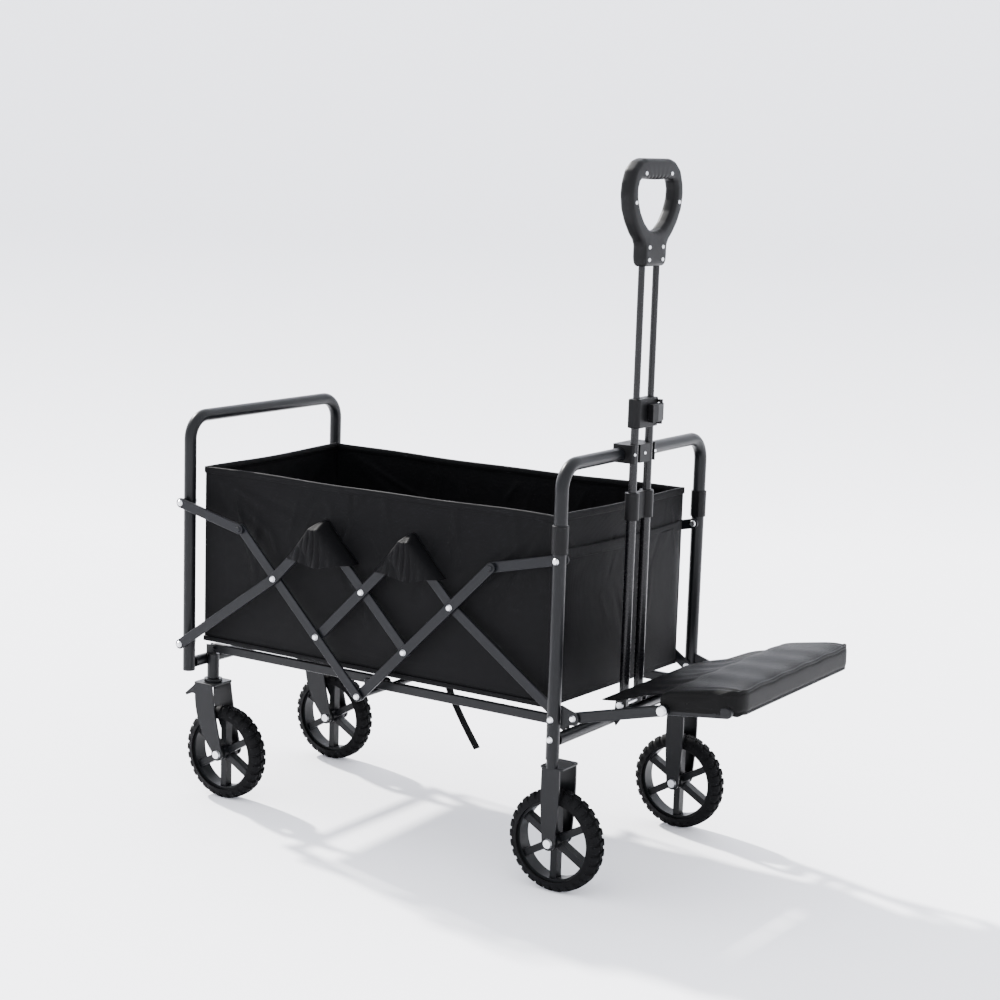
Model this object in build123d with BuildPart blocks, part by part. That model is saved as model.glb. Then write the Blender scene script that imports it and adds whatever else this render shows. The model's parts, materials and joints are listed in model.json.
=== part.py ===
"""Folding camp wagon: two inverted-U hoops joined by a scissor lattice on each side, a hung fabric basket,
a telescopic pull handle and a padded fold-out platform. Millimetres, +X to the handle, +Z up, floor at z = 0."""

from build123d import *
import os
from math import atan2, degrees, hypot

os.makedirs("parts", exist_ok=True)

# Driving dimensions: hoops
leg_spacing = 856.0
tube_d = 24.0
tube_wall = 1.5
front_half_width = 253.0
rear_half_width = 230.0
hoop_top = 776.0
hoop_bend = 44.0
front_leg_foot = 246.0
rear_leg_foot = 262.0

# Scissor lattice, seen from the side, measured from the middle of the wagon
cell_half = 98.5
pivot_mid_z = 481.0
cell_rise = 98.0
end_pivot_z = 319.0
link_pivot_z = 599.0
link_share = 0.86
bar_w = 19.0
bar_t = 6.0
bar_gap = 0.5
bar_inner_face = 234.0
rivet_r = 3.6
rivet_head_r = 6.2
rivet_head_h = 3.2
run_clear = 0.06
apart = 0.4

# Wheels and casters
wheel_d = 186.0
wheel_w = 42.0
rim_d = 146.0
hub_bore_r = 5.0
front_track_half = 228.0
rear_track_half = 176.0
stem_inboard = 16.0
caster_trail = 36.0
fork_t = 4.0
fork_gap = 5.0
fork_plate_top = 232.0
pedal_reach = 58.0

# Basket
basket_inset = 35.0
basket_half_width = 221.0
basket_top = 668.0
basket_bottom = 325.0
fabric_t = 4.0

# Floor bars
floor_bar_h = 18.0
floor_bar_t = 10.0
rear_floor_bar_y = 176.0
front_floor_bar_y = 198.0
knee_tube_r = 6.0

# Handle
handle_y = -20.0
tube_pair = 52.0
outer_r = 9.0
middle_r = 7.6
inner_r = 6.2
handle_wall = 1.1
handle_ahead = 22.0
handle_pivot_z = 306.0
collar_low = 646.0
collar_high = 695.0
clip_low = 749.0
clip_high = 782.0
clamp_low = 812.0
clamp_high = 864.0
neck_low = 1098.0
grip_top = 1286.0
grip_half = 94.0
grip_t = 27.0

# Platform
platform_reach = 345.0
arm_pivot_ahead = 36.0
arm_pivot_z = 324.0
pad_pivot_ahead = 207.0
pad_pivot_z = 367.0
arm_h = 19.0
arm_t = 11.0
arm_half_width = 240.0
pad_half_width = 214.0
pad_t = 36.0

# Places worked out from the sizes above
rear_x = -(leg_spacing + platform_reach + stem_inboard - pedal_reach) / 2
front_x = rear_x + leg_spacing
mid_x = (front_x + rear_x) / 2
tube_r = tube_d / 2
wheel_r = wheel_d / 2
stem_x = rear_x + stem_inboard
rear_wheel_x = stem_x + caster_trail
floor_bar_z = pivot_mid_z - 2 * cell_rise + knee_tube_r + apart + floor_bar_h / 2
handle_x = front_x + handle_ahead


def layer(n):
    """Outer face of bar layer n, counted outwards from the basket."""
    return bar_inner_face + (n + 1) * bar_t + n * bar_gap


def side(distance):
    """A vertical plane facing the near side, that far from the middle."""
    return Plane.XZ.offset(distance)


def write(label, *pieces):
    """Weld the pieces into one named node and export it; pieces that do not touch stay separate solids in it."""
    with BuildPart() as node:
        for piece in pieces:
            add(piece)
    node.part.label = label
    export_step(node.part, f"parts/{label}.step")


# Pivots as (x, z), named rear to front
end_rear = (rear_x, end_pivot_z)
end_front = (front_x, end_pivot_z)
link_rear = (rear_x, link_pivot_z)
link_front = (front_x, link_pivot_z)
mid_rear = (mid_x - 2 * cell_half, pivot_mid_z)
mid_front = (mid_x + 2 * cell_half, pivot_mid_z)
mid_mid = (mid_x, pivot_mid_z)
low_rear = (mid_x - cell_half, pivot_mid_z - cell_rise)
low_front = (mid_x + cell_half, pivot_mid_z - cell_rise)
bottom = (mid_x, pivot_mid_z - 2 * cell_rise)
apex_rear = (mid_x - cell_half, pivot_mid_z + cell_rise)
apex_front = (mid_x + cell_half, pivot_mid_z + cell_rise)
tip_rear = (mid_x - (2 + link_share) * cell_half, pivot_mid_z + link_share * cell_rise)
tip_front = (mid_x + (2 + link_share) * cell_half, pivot_mid_z + link_share * cell_rise)


def bar_outline(points, width):
    """A round-ended bar through the points, in the sketch that is open."""
    for (ax, az), (bx, bz) in zip(points[:-1], points[1:]):
        turn = degrees(atan2(bz - az, bx - ax))
        with Locations(((ax + bx) / 2, (az + bz) / 2)):
            SlotCenterToCenter(hypot(bx - ax, bz - az), width, rotation=turn)


def bar_pair(points, number, holes):
    """The same pressed bar on both sides of the wagon, in one layer, with its rivet holes."""
    with BuildPart() as bar:
        with BuildSketch(side(layer(number) - bar_t)):
            bar_outline(points, bar_w)
        extrude(amount=bar_t)
        fillet(bar.faces().filter_by(Axis.Y).edges(), 1.6)
        with BuildSketch(side(layer(number) - bar_t)):
            with Locations(*holes):
                Circle(rivet_r + run_clear)
        extrude(amount=bar_t, mode=Mode.SUBTRACT)
        mirror(about=Plane.XZ)
    return bar.part


write("bar_rear_end", bar_pair((end_rear, mid_rear, apex_rear), 3, (end_rear, mid_rear, apex_rear)))
write("bar_rear_long", bar_pair((tip_rear, bottom), 2, (mid_rear, low_rear, bottom)))
write("bar_middle_rising", bar_pair((low_rear, apex_front), 1, (low_rear, mid_mid, apex_front)))
write("bar_middle_falling", bar_pair((apex_rear, low_front), 0, (apex_rear, mid_mid, low_front)))
write("bar_front_end", bar_pair((apex_front, mid_front, end_front), 0, (apex_front, mid_front, end_front)))
write("link_front", bar_pair((tip_front, link_front), 0, (link_front,)))


def rivets(places):
    """Domed rivets, each from its inner to its outer distance, on both sides; a lone stub has no inner head."""
    with BuildPart() as group:
        for point, low, high, inner_head in places:
            with BuildSketch(side(low)):
                with Locations(point):
                    Circle(rivet_r)
            extrude(amount=high - low)
            with BuildSketch(side(high)):
                with Locations(point):
                    Circle(rivet_head_r)
            extrude(amount=rivet_head_h, taper=32)
            if inner_head:
                with BuildSketch(side(low)):
                    with Locations(point):
                        Circle(rivet_head_r)
                extrude(amount=-2.2, taper=25)
        mirror(about=Plane.XZ)
    return group.part


def inner(n):
    """Inner face of bar layer n."""
    return layer(n) - bar_t


write(
    "rivets_rear_end",
    rivets(
        (
            (mid_rear, inner(2) - apart, layer(3) + apart, True),
            (apex_rear, inner(0) - apart, layer(3) + apart, True),
        )
    ),
)
write(
    "rivets_rear_long",
    rivets(
        (
            (low_rear, inner(1) - apart, layer(2) + apart, True),
            (bottom, inner(1) - apart, layer(2) + apart, True),
        )
    ),
)
write(
    "rivets_middle",
    rivets(
        (
            (mid_mid, inner(0) - apart, layer(1) + apart, True),
            (apex_front, inner(0) - apart, layer(1) + apart, True),
        )
    ),
)
write(
    "rivets_front_long",
    rivets(
        (
            (low_front, inner(0) - apart, layer(1) + apart, True),
            (mid_front, inner(0) - apart, layer(1) + apart, True),
        )
    ),
)
write(
    "bar_front_long",
    bar_pair((bottom, tip_front), 1, (bottom, low_front, mid_front)),
    rivets(((tip_front, layer(1) - bar_t / 2, layer(1), False),)),
)
write(
    "link_rear",
    bar_pair((link_rear, tip_rear), 3, (link_rear,)),
    rivets(((tip_rear, layer(3) - bar_t / 2, layer(3), False),)),
)
write(
    "rivets_rear_leg",
    rivets(
        (
            (end_rear, rear_half_width - tube_r - apart, layer(3) + apart, True),
            (link_rear, rear_half_width - tube_r - apart, layer(3) + apart, True),
        )
    ),
)
front_leg_face = front_half_width + tube_r
lower_bolt = (front_x, end_pivot_z - 36)
front_leg_rivets = rivets(
    (
        (end_front, inner(0) - apart, front_leg_face + apart, True),
        (link_front, inner(0) - apart, front_leg_face + apart, True),
        (lower_bolt, front_half_width, front_leg_face + apart, False),
    )
)


def hoop(x, half_width, foot, holes):
    """An inverted-U hoop of round tube, with drilled legs."""
    with BuildPart() as frame:
        with BuildLine() as route:
            FilletPolyline(
                (x, -half_width, foot),
                (x, -half_width, hoop_top - tube_r),
                (x, half_width, hoop_top - tube_r),
                (x, half_width, foot),
                radius=hoop_bend,
            )
        with BuildSketch(Plane((x, -half_width, foot), z_dir=(0, 0, 1))):
            Circle(tube_r)
            Circle(tube_r - tube_wall, mode=Mode.SUBTRACT)
        sweep(path=route.line)
        with BuildSketch(side(-half_width - tube_d)):
            with Locations(*holes):
                Circle(rivet_r + run_clear)
        extrude(amount=2 * (half_width + tube_d), mode=Mode.SUBTRACT)
    return frame.part



# Spacers that stand the rear end bars and links off the rear legs
with BuildPart() as rear_spacers:
    with BuildSketch(side(rear_half_width + tube_r - 4)):
        with Locations(end_rear, link_rear):
            Circle(bar_w / 2 - 1.5)
            Circle(rivet_r + run_clear, mode=Mode.SUBTRACT)
    extrude(amount=inner(3) - rear_half_width - tube_r + 4 - apart)
    mirror(about=Plane.XZ)
write(
    "rear_hoop",
    hoop(rear_x, rear_half_width, rear_leg_foot, (end_rear, link_rear)),
    rear_spacers.part,
)
write(
    "front_hoop",
    hoop(front_x, front_half_width, front_leg_foot, (end_front, link_front, lower_bolt)),
)

# Plastic sleeves where the basket corners are held on the front legs
sleeve_low = link_pivot_z + 12
sleeve_high = sleeve_low + 50
with BuildPart() as leg_sleeves:
    for y in (-front_half_width, front_half_width):
        with BuildSketch(Plane((front_x, y, sleeve_low), z_dir=(0, 0, 1))):
            Circle(tube_r + 2.6)
            Circle(tube_r + 0.05, mode=Mode.SUBTRACT)
        extrude(amount=sleeve_high - sleeve_low)
    fillet(leg_sleeves.edges().filter_by(GeomType.CIRCLE).sort_by(SortBy.RADIUS)[-4:], 1.0)
    with BuildSketch(Plane((front_x, 0, sleeve_low), z_dir=(0, 0, 1))):
        Rectangle(4 * tube_d, 2 * (layer(0) + apart))
    extrude(amount=sleeve_high - sleeve_low, mode=Mode.SUBTRACT)
leg_sleeves.part.label = "leg_sleeves"
export_step(leg_sleeves.part, "parts/leg_sleeves.step")


def cross_tube(x, z, radius, reach):
    """A straight tube across the wagon."""
    with BuildPart() as tube:
        with BuildSketch(side(-reach)):
            with Locations((x, z)):
                Circle(radius)
                Circle(radius - tube_wall, mode=Mode.SUBTRACT)
        extrude(amount=2 * reach)
    return tube.part


rear_cross_z = rear_leg_foot + tube_r + 2
front_cross_z = floor_bar_z - floor_bar_h - 4
write("knee_tube", cross_tube(bottom[0], bottom[1], knee_tube_r, inner(1) - apart - 2.3))

# Floor bars, hinged low on each hoop; the two pairs lie side by side where they pass the knee
rear_hinge_x = rear_x + 22
front_hinge_x = front_x - 22


def floor_bars(label, start_x, end_x, y):
    """A pair of floor bars between a hinge and its free end past the knee."""
    with BuildPart() as bars:
        with BuildSketch(side(y - floor_bar_t / 2)):
            bar_outline(((start_x, floor_bar_z), (end_x, floor_bar_z)), floor_bar_h)
        extrude(amount=floor_bar_t)
        fillet(bars.faces().filter_by(Axis.Y).edges(), 2.4)
        with BuildSketch(side(y - floor_bar_t)):
            with Locations((start_x, floor_bar_z)):
                Circle(rivet_r + run_clear)
        extrude(amount=2 * floor_bar_t, mode=Mode.SUBTRACT)
        mirror(about=Plane.XZ)
    bars.part.label = label
    export_step(bars.part, f"parts/{label}.step")


floor_bars("rear_floor_bars", rear_hinge_x, mid_x + 12, rear_floor_bar_y)
floor_bars("front_floor_bars", front_hinge_x, mid_x - 12, front_floor_bar_y)


def hinge_lugs(x, hinge_x, cross_z, y):
    """Clevis lugs on a cross tube with a pin through each floor bar."""
    with BuildPart() as lugs:
        for face in (y - floor_bar_t / 2 - apart - 2, y + floor_bar_t / 2 + apart):
            with BuildSketch(side(face)):
                with BuildLine():
                    Polyline(
                        (x, cross_z + 5),
                        (hinge_x, floor_bar_z - 9),
                        (hinge_x + (4 if hinge_x > x else -4), floor_bar_z + 8),
                        (x, floor_bar_z + 6),
                        close=True,
                    )
                make_face()
            extrude(amount=2)
        with BuildSketch(side(y - floor_bar_t / 2 - apart - 5)):
            with Locations((hinge_x, floor_bar_z)):
                Circle(rivet_r)
        extrude(amount=floor_bar_t + 2 * apart + 10)
        mirror(about=Plane.XZ)
    return lugs.part


# Wheels: a knobbed tyre on a moulded six-spoke hub with a deep dish on each face
rim_r = rim_d / 2
boss_r = 14.0
spokes = 6


def wheel(place, x, y):
    """Tyre and hub of one wheel, turning about the Y direction."""
    axle = Axis((x, y, wheel_r), (0, 1, 0))
    with BuildPart() as tyre:
        with BuildSketch(Plane((x, y, wheel_r), x_dir=(0, 1, 0), z_dir=(1, 0, 0))):
            with BuildLine():
                Polyline((-14, -rim_r), (14, -rim_r), (wheel_w / 2 - 2, -rim_r - 3), (wheel_w / 2, -rim_r - 9))
                Line((wheel_w / 2, -rim_r - 9), (wheel_w / 2 - 6, -wheel_r + 3.5))
                ThreePointArc((wheel_w / 2 - 6, -wheel_r + 3.5), (0, -wheel_r), (6 - wheel_w / 2, -wheel_r + 3.5))
                Line((6 - wheel_w / 2, -wheel_r + 3.5), (-wheel_w / 2, -rim_r - 9))
                Polyline((-wheel_w / 2, -rim_r - 9), (2 - wheel_w / 2, -rim_r - 3), (-14, -rim_r))
            make_face()
        revolve(axis=axle)
    tyre.part.label = f"tyre_{place}"
    export_step(tyre.part, f"parts/tyre_{place}.step")

    with BuildPart() as hub:
        with BuildSketch(side(-y - 14)):
            with Locations((x, wheel_r)):
                Circle(rim_r)
                Circle(rim_r - 4.5, mode=Mode.SUBTRACT)
        extrude(amount=28)
        with BuildSketch(side(-y - 9)):
            with Locations((x, wheel_r)):
                with PolarLocations((rim_r + boss_r) / 2 - 2, spokes, start_angle=90):
                    Rectangle(rim_r - boss_r + 2, 13)
        extrude(amount=18)
        with BuildSketch(side(-y - wheel_w / 2 + 2)):
            with Locations((x, wheel_r)):
                Circle(boss_r)
        extrude(amount=wheel_w - 4)
        with BuildSketch(side(-y - wheel_w / 2)):
            with Locations((x, wheel_r)):
                Circle(hub_bore_r)
        extrude(amount=wheel_w, mode=Mode.SUBTRACT)
    hub.part.label = f"hub_{place}"
    export_step(hub.part, f"parts/hub_{place}.step")


for end, wheel_x, track in (("front", front_x, front_track_half), ("rear", rear_wheel_x, rear_track_half)):
    wheel(f"{end}_near", wheel_x, -track)
    wheel(f"{end}_far", wheel_x, track)


fork_half = wheel_w / 2 + fork_gap + fork_t
eye_r = 13.0


def fork(plate_x, plate_half, axle_x, y):
    """A pressed steel fork: a top plate and two cheeks that run down to the axle eyes."""
    under = fork_plate_top - fork_t
    eye_z = wheel_r + 4
    with BuildPart() as made:
        with BuildSketch(Plane((plate_x, y, under), z_dir=(0, 0, 1))):
            RectangleRounded(2 * plate_half, 2 * fork_half, 6)
        extrude(amount=fork_t)
        for face in (-y - fork_half, -y + fork_half - fork_t):
            with BuildSketch(side(face)):
                with BuildLine():
                    Line((plate_x - plate_half + 5, under), (plate_x + plate_half - 5, under))
                    Spline(
                        (plate_x + plate_half - 5, under),
                        (plate_x + plate_half - 5 + 0.3 * (axle_x - plate_x), wheel_r + 72),
                        (axle_x + eye_r, eye_z),
                    )
                    ThreePointArc((axle_x + eye_r, eye_z), (axle_x, wheel_r - eye_r), (axle_x - eye_r, eye_z))
                    Spline(
                        (axle_x - eye_r, eye_z),
                        (plate_x - plate_half + 5 + 0.15 * (axle_x - plate_x), wheel_r + 72),
                        (plate_x - plate_half + 5, under),
                    )
                make_face()
                with Locations((axle_x, wheel_r)):
                    Circle(hub_bore_r, mode=Mode.SUBTRACT)
            extrude(amount=fork_t)
        fillet(made.faces().sort_by(Axis.Z)[-1].edges(), 1.2)
    return made.part


def axle_bolts(x, tracks):
    """A bolt through each fork and wheel, with a head and a nut."""
    with BuildPart() as bolts:
        for y in tracks:
            with BuildSketch(side(-y - fork_half - 0.5)):
                with Locations((x, wheel_r)):
                    Circle(hub_bore_r - run_clear)
            extrude(amount=2 * fork_half + 1)
            with BuildSketch(side(-y + fork_half + 0.1)):
                with Locations((x, wheel_r)):
                    Circle(9)
            extrude(amount=4, taper=20)
            with BuildSketch(side(-y - fork_half - 0.1)):
                with Locations((x, wheel_r)):
                    RegularPolygon(8.5, 6)
            extrude(amount=-5)
    return bolts.part


front_plate_half = 23.0
caster_plate_half = 26.0
# Posts that carry the front forks inside the leg ends
with BuildPart() as front_posts:
    for y in (-front_half_width, front_half_width):
        with BuildSketch(Plane((front_x, y, fork_plate_top - 2), z_dir=(0, 0, 1))):
            Circle(tube_r - tube_wall - 0.05)
        extrude(amount=front_leg_foot - fork_plate_top + 26)
write(
    "front_forks",
    fork(front_x, front_plate_half, front_x, -front_track_half),
    fork(front_x, front_plate_half, front_x, front_track_half),
    front_posts.part,
)

# Sockets on the rear cross tube that the caster stems turn in
stem_r = 6.0
socket_r = 12.0
bearing_h = 6.0
socket_low = fork_plate_top + bearing_h + apart
socket_high = rear_cross_z + tube_r
with BuildPart() as caster_sockets:
    for y in (-rear_track_half, rear_track_half):
        with BuildSketch(Plane((stem_x, y, socket_low), z_dir=(0, 0, 1))):
            Circle(socket_r)
        extrude(amount=socket_high - socket_low)
with BuildPart() as rear_weldment:
    add(cross_tube(rear_x, rear_cross_z, tube_r - 1, rear_half_width - tube_r - 0.05))
    add(hinge_lugs(rear_x + 4, rear_hinge_x, rear_cross_z, rear_floor_bar_y))
    add(caster_sockets.part)
    for y in (-rear_track_half, rear_track_half):
        with BuildSketch(Plane((stem_x, y, socket_low - 1), z_dir=(0, 0, 1))):
            Circle(stem_r + run_clear)
        extrude(amount=socket_high - socket_low + 2, mode=Mode.SUBTRACT)
write("rear_cross_tube", rear_weldment.part)

# Brake pedals behind the caster forks
pedal_x = stem_x - caster_plate_half - 9
pedal_z = fork_plate_top - 22


def caster_fork(y):
    """A caster fork with its bearing, swivel stem and the lugs and pin of the brake pedal."""
    with BuildPart() as made:
        add(fork(stem_x, caster_plate_half, rear_wheel_x, y))
        with BuildSketch(Plane((stem_x, y, fork_plate_top - 1), z_dir=(0, 0, 1))):
            Circle(18)
        extrude(amount=bearing_h + 1)
        with BuildSketch(Plane((stem_x, y, fork_plate_top), z_dir=(0, 0, 1))):
            Circle(stem_r)
        extrude(amount=socket_high - fork_plate_top + 0.8)
        for face in (-y - 20.5, -y + 17.5):
            with BuildSketch(side(face)):
                with BuildLine():
                    Polyline(
                        (stem_x - caster_plate_half + 4, fork_plate_top - 1),
                        (stem_x - caster_plate_half + 4, fork_plate_top - 28),
                        (pedal_x - 4, pedal_z - 5),
                        (pedal_x - 4, pedal_z + 5),
                        (stem_x - caster_plate_half + 1, fork_plate_top - 1),
                        close=True,
                    )
                make_face()
            extrude(amount=3)
        with BuildSketch(side(-y - 20)):
            with Locations((pedal_x, pedal_z)):
                Circle(2.5)
        extrude(amount=40)
    return made.part


def brake_pedal(y):
    """A flat foot lever on the pin behind a caster."""
    with BuildPart() as pedal:
        with BuildSketch(side(-y - 17)):
            with BuildLine():
                Polyline(
                    (pedal_x + 6, pedal_z + 8),
                    (pedal_x - 6, pedal_z + 6),
                    (stem_x - pedal_reach, pedal_z - 9),
                    (stem_x - pedal_reach + 3, pedal_z - 13),
                    (pedal_x - 2, pedal_z - 4),
                    (pedal_x + 6, pedal_z - 6),
                    close=True,
                )
            make_face()
            with Locations((pedal_x, pedal_z)):
                Circle(2.56, mode=Mode.SUBTRACT)
        extrude(amount=34)
    return pedal.part


for place, y in (("near", -rear_track_half), ("far", rear_track_half)):
    write(f"caster_fork_{place}", caster_fork(y))
    write(f"caster_axle_{place}", axle_bolts(rear_wheel_x, (y,)))
    write(f"brake_pedal_{place}", brake_pedal(y))

# Basket panels: plain closed sheets, clear of the lattice and the hoops
basket_front = front_x - basket_inset
basket_rear = rear_x + basket_inset
floor_top = basket_bottom + fabric_t


def panel(label, x_range, y_range, z_range):
    """A flat fabric panel between two corners."""
    with BuildPart() as sheet:
        with BuildSketch(Plane((sum(x_range) / 2, sum(y_range) / 2, z_range[0]), z_dir=(0, 0, 1))):
            Rectangle(x_range[1] - x_range[0], y_range[1] - y_range[0])
        extrude(amount=z_range[1] - z_range[0])
    sheet.part.label = label
    export_step(sheet.part, f"parts/{label}.step")


wall_z = (basket_bottom, basket_top)
across = (-basket_half_width, basket_half_width)
floor_x = (basket_rear + fabric_t + apart, basket_front - fabric_t - apart)
floor_y = (fabric_t + apart - basket_half_width, basket_half_width - fabric_t - apart)
panel("basket_floor", floor_x, floor_y, (basket_bottom, floor_top))
panel("basket_front_wall", (basket_front - fabric_t, basket_front), across, wall_z)
panel("basket_rear_wall", (basket_rear, basket_rear + fabric_t), across, wall_z)
inside_x = (basket_rear + fabric_t + 0.1, basket_front - fabric_t - 0.1)
panel("basket_near_wall", inside_x, (-basket_half_width, fabric_t - basket_half_width), wall_z)
panel("basket_far_wall", inside_x, (basket_half_width - fabric_t, basket_half_width), wall_z)

# Loose webbing strap under the basket
strap_w = 20.0
strap_y = -150.0
with BuildPart() as hanging_strap:
    with BuildSketch(side(-strap_y - strap_w / 2)):
        with BuildLine():
            Spline(
                (mid_x + 128, basket_bottom - 2),
                (mid_x + 144, basket_bottom - 40),
                (mid_x + 174, basket_bottom - 85),
                (mid_x + 203, basket_bottom - 125),
            )
            Line((mid_x + 203, basket_bottom - 125), (mid_x + 205, basket_bottom - 123))
            Spline(
                (mid_x + 205, basket_bottom - 123),
                (mid_x + 176, basket_bottom - 83),
                (mid_x + 146, basket_bottom - 39),
                (mid_x + 131, basket_bottom - 2),
            )
            Line((mid_x + 131, basket_bottom - 2), (mid_x + 128, basket_bottom - 2))
        make_face()
    extrude(amount=strap_w)
hanging_strap.part.label = "hanging_strap"
export_step(hanging_strap.part, "parts/hanging_strap.step")

# Handle, from the pivot up to the grip
tube_ys = (handle_y - tube_pair / 2, handle_y + tube_pair / 2)
pivot_bolt_r = 4.0


def across_handle(distance):
    """A vertical plane facing the near side, that far from the handle's middle."""
    return side(distance - handle_y)


def twin_tubes(label, radius, wall, low, high, pivot_hole):
    """Two parallel upright tubes."""
    with BuildPart() as pair:
        with BuildSketch(Plane((handle_x, 0, low), z_dir=(0, 0, 1))):
            with Locations(*[(0, y) for y in tube_ys]):
                Circle(radius)
                Circle(radius - wall, mode=Mode.SUBTRACT)
        extrude(amount=high - low)
        if pivot_hole:
            with BuildSketch(across_handle(-tube_pair)):
                with Locations((handle_x, handle_pivot_z)):
                    Circle(pivot_bolt_r + run_clear)
            extrude(amount=2 * tube_pair, mode=Mode.SUBTRACT)
    pair.part.label = label
    export_step(pair.part, f"parts/{label}.step")


cap_t = 4.0
twin_tubes("handle_outer_tubes", outer_r, handle_wall, handle_pivot_z - 10, collar_high - cap_t, True)
twin_tubes("handle_middle_tubes", middle_r, handle_wall / 2, 500, clamp_high - cap_t, False)
twin_tubes("handle_inner_tubes", inner_r, handle_wall, 680, neck_low + 26, False)


def joint_block(low, high, below_r, above_r, depth):
    """A moulded block that closes one tube pair and guides the next."""
    with BuildPart() as block:
        with BuildSketch(Plane((handle_x, handle_y, low), z_dir=(0, 0, 1))):
            RectangleRounded(depth, tube_pair + 2 * below_r + 7, 7)
        extrude(amount=high - low)
        fillet(block.faces().filter_by(Axis.Z).edges(), 2.0)
        with BuildSketch(Plane((handle_x, 0, low), z_dir=(0, 0, 1))):
            with Locations(*[(0, y) for y in tube_ys]):
                Circle(below_r + 0.05)
        extrude(amount=high - low - cap_t, mode=Mode.SUBTRACT)
        with BuildSketch(Plane((handle_x, 0, high - cap_t), z_dir=(0, 0, 1))):
            with Locations(*[(0, y) for y in tube_ys]):
                Circle(above_r)
        extrude(amount=cap_t, mode=Mode.SUBTRACT)
    return block.part


with BuildPart() as handle_collar:
    with BuildSketch(Plane((handle_x, handle_y, collar_low), z_dir=(0, 0, 1))):
        with Locations((0, -tube_pair / 2), (0, tube_pair / 2)):
            Circle(outer_r + 4)
        Rectangle(9, tube_pair)
        with Locations((0, -tube_pair / 2), (0, tube_pair / 2)):
            Circle(outer_r + 0.05, mode=Mode.SUBTRACT)
    extrude(amount=collar_high - collar_low - cap_t)
    with BuildSketch(Plane((handle_x, handle_y, collar_high - cap_t), z_dir=(0, 0, 1))):
        with Locations((0, -tube_pair / 2), (0, tube_pair / 2)):
            Circle(outer_r + 4)
        Rectangle(9, tube_pair)
        with Locations((0, -tube_pair / 2), (0, tube_pair / 2)):
            Circle(middle_r + 0.1, mode=Mode.SUBTRACT)
    extrude(amount=cap_t)
handle_collar.part.label = "handle_collar"
export_step(handle_collar.part, "parts/handle_collar.step")

# Clamp lever, hinged on an upright pin at the far edge of the clamp
lever_x = handle_x + 12.5 + 6
lever_pin_y = handle_y + 34
with BuildPart() as lever_pin:
    for z in (clamp_low + 4, clamp_high - 9):
        with BuildSketch(Plane((lever_x - 3.2, lever_pin_y - 1, z), z_dir=(0, 0, 1))):
            Rectangle(8, 10)
        extrude(amount=5)
    with BuildSketch(Plane((lever_x, lever_pin_y, clamp_low + 4), z_dir=(0, 0, 1))):
        Circle(2.5)
    extrude(amount=clamp_high - clamp_low - 8)
write("handle_clamp", joint_block(clamp_low, clamp_high, middle_r, inner_r + 0.1, 25), lever_pin.part)

with BuildPart() as clamp_lever:
    with BuildSketch(Plane((lever_x, handle_y, clamp_low + 10), z_dir=(0, 0, 1))):
        with BuildLine():
            Polyline((-5.2, -6), (-4, 28), (-4.5, 34))
            ThreePointArc((-4.5, 34), (0, 38.5), (4.5, 34))
            Polyline((4.5, 34), (8, 10), (7, -8), (-5.2, -6))
        make_face()
        with Locations((0, lever_pin_y - handle_y)):
            Circle(2.56, mode=Mode.SUBTRACT)
    extrude(amount=clamp_high - clamp_low - 20)
    fillet(clamp_lever.faces().filter_by(Axis.Z).edges().filter_by(GeomType.LINE), 1.2)
clamp_lever.part.label = "clamp_lever"
export_step(clamp_lever.part, "parts/clamp_lever.step")

# Base bracket and pivot bolt on the front cross tube
cheek_t = 3.0
cheek_in = tube_pair / 2 + outer_r + apart
with BuildPart() as handle_bracket:
    for face in (cheek_in, -cheek_in - cheek_t):
        with BuildSketch(across_handle(face)):
            with BuildLine():
                Polyline(
                    (front_x + tube_r - 3, front_cross_z),
                    (front_x + tube_r + 2, front_cross_z - 12),
                    (handle_x + 12, handle_pivot_z - 12),
                    (handle_x + 12, handle_pivot_z + 14),
                    (front_x + tube_r + 1, handle_pivot_z + 14),
                    close=True,
                )
            make_face()
            with Locations((handle_x, handle_pivot_z)):
                Circle(pivot_bolt_r + run_clear, mode=Mode.SUBTRACT)
        extrude(amount=cheek_t)
write(
    "front_cross_tube",
    cross_tube(front_x, front_cross_z, tube_r - 1, front_half_width - tube_r - 0.05),
    hinge_lugs(front_x - 4, front_hinge_x, front_cross_z, front_floor_bar_y),
    handle_bracket.part,
)

with BuildPart() as handle_bolt:
    with BuildSketch(across_handle(-cheek_in - cheek_t - 0.5)):
        with Locations((handle_x, handle_pivot_z)):
            Circle(pivot_bolt_r)
    extrude(amount=2 * cheek_in + 2 * cheek_t + 1)
    with BuildSketch(across_handle(cheek_in + cheek_t + 0.1)):
        with Locations((handle_x, handle_pivot_z)):
            Circle(7.5)
    extrude(amount=4, taper=20)
    with BuildSketch(across_handle(-cheek_in - cheek_t - 0.1)):
        with Locations((handle_x, handle_pivot_z)):
            RegularPolygon(7.5, 6)
    extrude(amount=-5)

# Clip on the hoop's cross bar that the middle tubes snap into, open towards the handle's lean
clip_front = handle_x + 8
clip_back = front_x - tube_r - 3
with BuildPart() as hoop_clip:
    with BuildSketch(Plane(((clip_back + clip_front) / 2, handle_y, clip_low), z_dir=(0, 0, 1))):
        RectangleRounded(clip_front - clip_back, tube_pair + 30, 5)
    extrude(amount=clip_high - clip_low)
    with BuildSketch(across_handle(-tube_pair)):
        with Locations((front_x, hoop_top - tube_r)):
            Circle(tube_r + 0.05)
    extrude(amount=2 * tube_pair, mode=Mode.SUBTRACT)
    with BuildSketch(Plane((handle_x, 0, clip_low), z_dir=(0, 0, 1))):
        for y in tube_ys:
            with Locations((0, y)):
                Circle(middle_r + apart)
            with Locations((10, y)):
                Rectangle(20, 2 * (middle_r + apart))
    extrude(amount=clip_high - clip_low, mode=Mode.SUBTRACT)
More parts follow.
